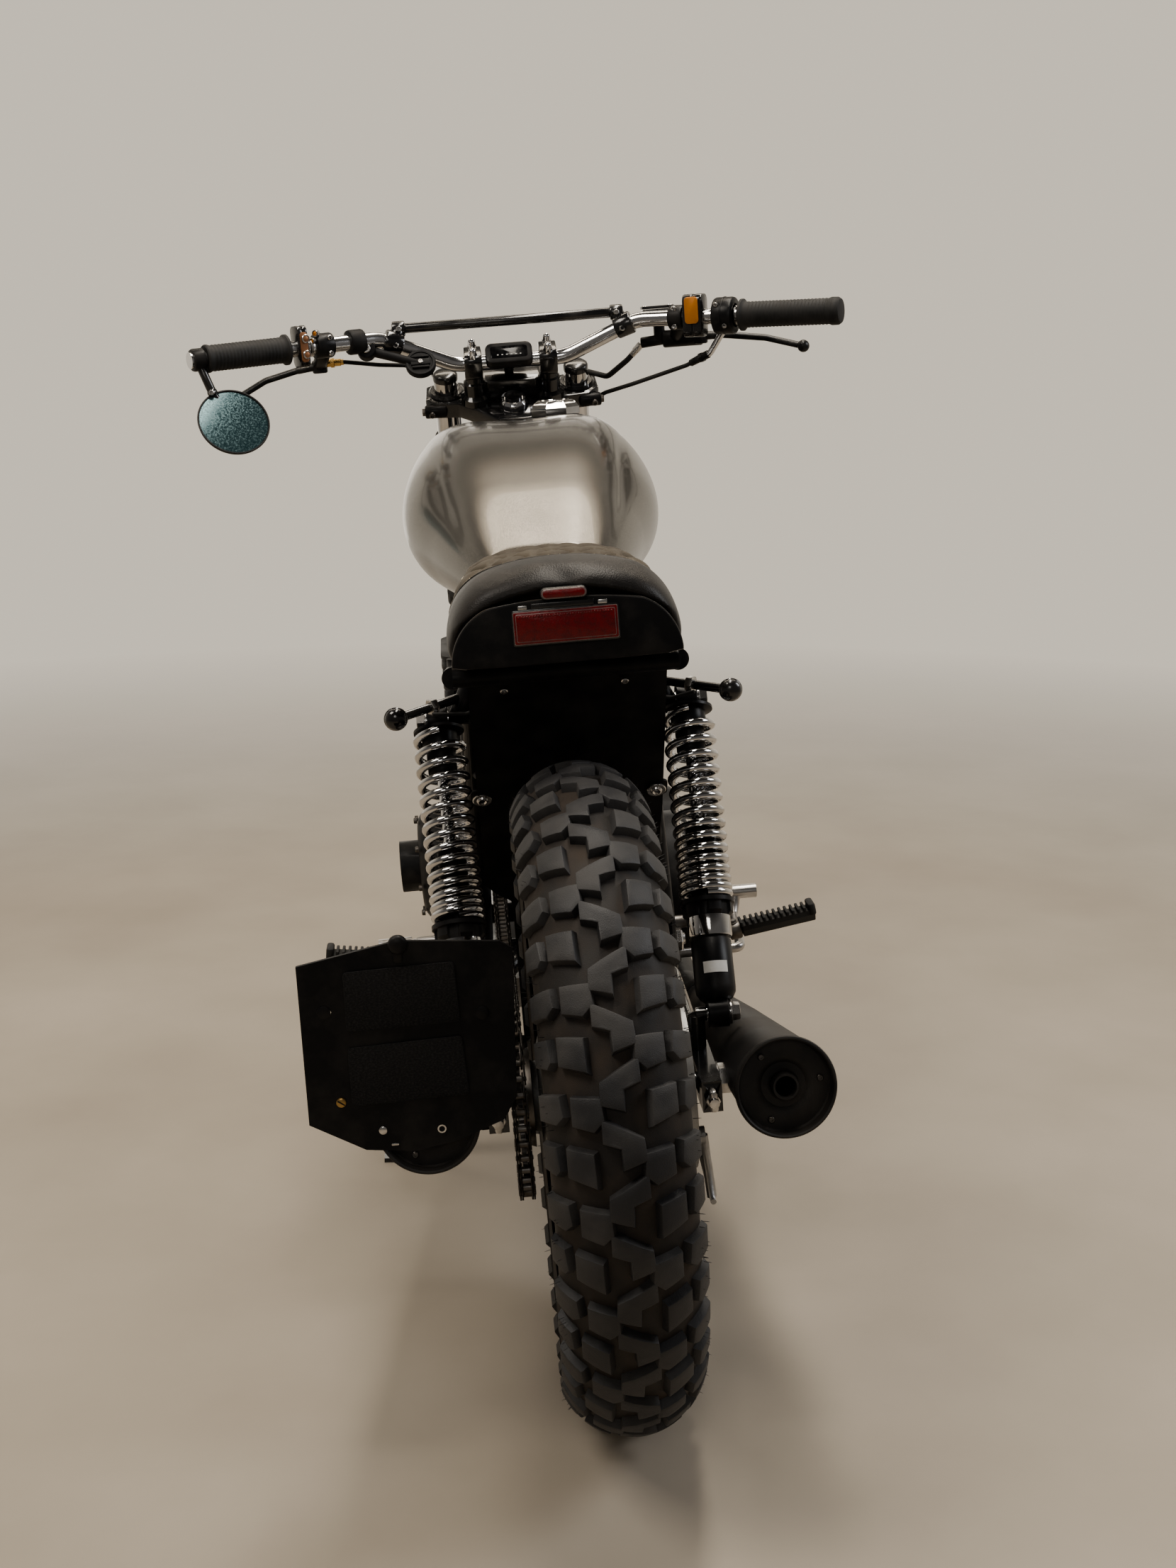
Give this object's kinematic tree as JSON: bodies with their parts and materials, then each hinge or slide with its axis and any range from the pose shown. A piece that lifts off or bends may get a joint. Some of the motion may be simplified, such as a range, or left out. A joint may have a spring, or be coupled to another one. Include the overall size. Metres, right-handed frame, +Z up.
{
  "type": "cafe racer motorcycle",
  "caption": "Custom motorcycle with an air-cooled twin engine, bare steel tank, wire wheels, block tyres and a wide braced handlebar, leaning on its side stand.",
  "frame": {"origin": "bottom centre of the bounding box, on the ground, of the bike parked on its side stand", "axes": "+X forward along the wheelbase, +Y to the rider's left, +Z up"},
  "size_m": [2.0638, 0.8722, 1.1253],
  "materials": {
    "black_frame": "gloss black paint",
    "black_metal": "satin black paint",
    "engine_black": "satin black heat paint",
    "engine_alloy": "cast, satin",
    "exhaust_black": "matt black heat paint",
    "bare_steel": "brushed under clear coat",
    "chrome": "polished chrome",
    "bar_aluminium": "polished",
    "brushed": "brushed",
    "chain_steel": "oiled, dull",
    "rim_alloy": "satin",
    "seat_leather": "quilted, worn",
    "black_plastic": "matt black",
    "black_rubber": "matt",
    "tyre": "matt block tread",
    "red_lens": "clear red"
  },
  "bodies": {
    "chassis": {"frame": "black_frame", "swingarm": "black_frame", "shocks": "black_metal", "springs": "chrome", "crankcase": "engine_alloy", "engine_covers": "engine_black", "cylinders": "engine_black", "cylinder_head": "engine_black", "carburettors": "engine_alloy", "air_filters": "black_plastic", "exhaust_pipes": "exhaust_black", "silencers": "exhaust_black", "fuel_tank": "bare_steel", "fuel_cap": "chrome", "seat": "seat_leather", "tail_panel": "black_plastic", "rear_lights": "red_lens", "inner_mudguard": "black_plastic", "footpegs": "black_rubber", "foot_controls": "brushed", "plate_holder": "black_plastic", "chain": "chain_steel", "rear_brake": "engine_alloy"},
    "steering": {"fork_tubes": "chrome", "fork_sliders": "black_metal", "top_yoke": "black_metal", "bottom_yoke": "black_metal", "handlebar": "bar_aluminium", "crossbar": "black_metal", "grips": "black_rubber", "left_controls": "black_plastic", "right_controls": "black_plastic", "mirror": "black_metal", "phone_mount": "black_plastic", "instrument": "black_plastic", "headlamp": "black_metal", "brake_caliper": "black_metal", "front_mudguard": "black_metal"},
    "front_wheel_set": {"front_tyre": "tyre", "front_wheel": "rim_alloy", "front_disc": "brushed"},
    "rear_wheel_set": {"rear_tyre": "tyre", "rear_wheel": "rim_alloy", "rear_sprocket": "brushed"},
    "stand": {"side_stand": "black_frame"}
  },
  "joints": [
    {"name": "steering_turn", "type": "hinge", "parent": "chassis", "child": "steering", "pos_m": [0.34691, -0.0094, 0.87701], "axis": [-0.4772, 0.0659, 0.8763], "range_deg": [-30, 30]},
    {"name": "front_wheel_spin", "type": "hinge", "parent": "steering", "child": "front_wheel_set", "pos_m": [0.701, -0.05044, 0.33117], "axis": [0, 0.9972, -0.075], "continuous": true},
    {"name": "rear_wheel_spin", "type": "hinge", "parent": "chassis", "child": "rear_wheel_set", "pos_m": [-0.699, -0.05029, 0.33317], "axis": [0, 0.9972, -0.075], "continuous": true},
    {"name": "side_stand_swing", "type": "hinge", "parent": "chassis", "child": "stand", "pos_m": [-0.139, 0.06633, 0.17699], "axis": [0.0595, 0.8362, 0.5452], "range_deg": [0, 95]}
  ]
}
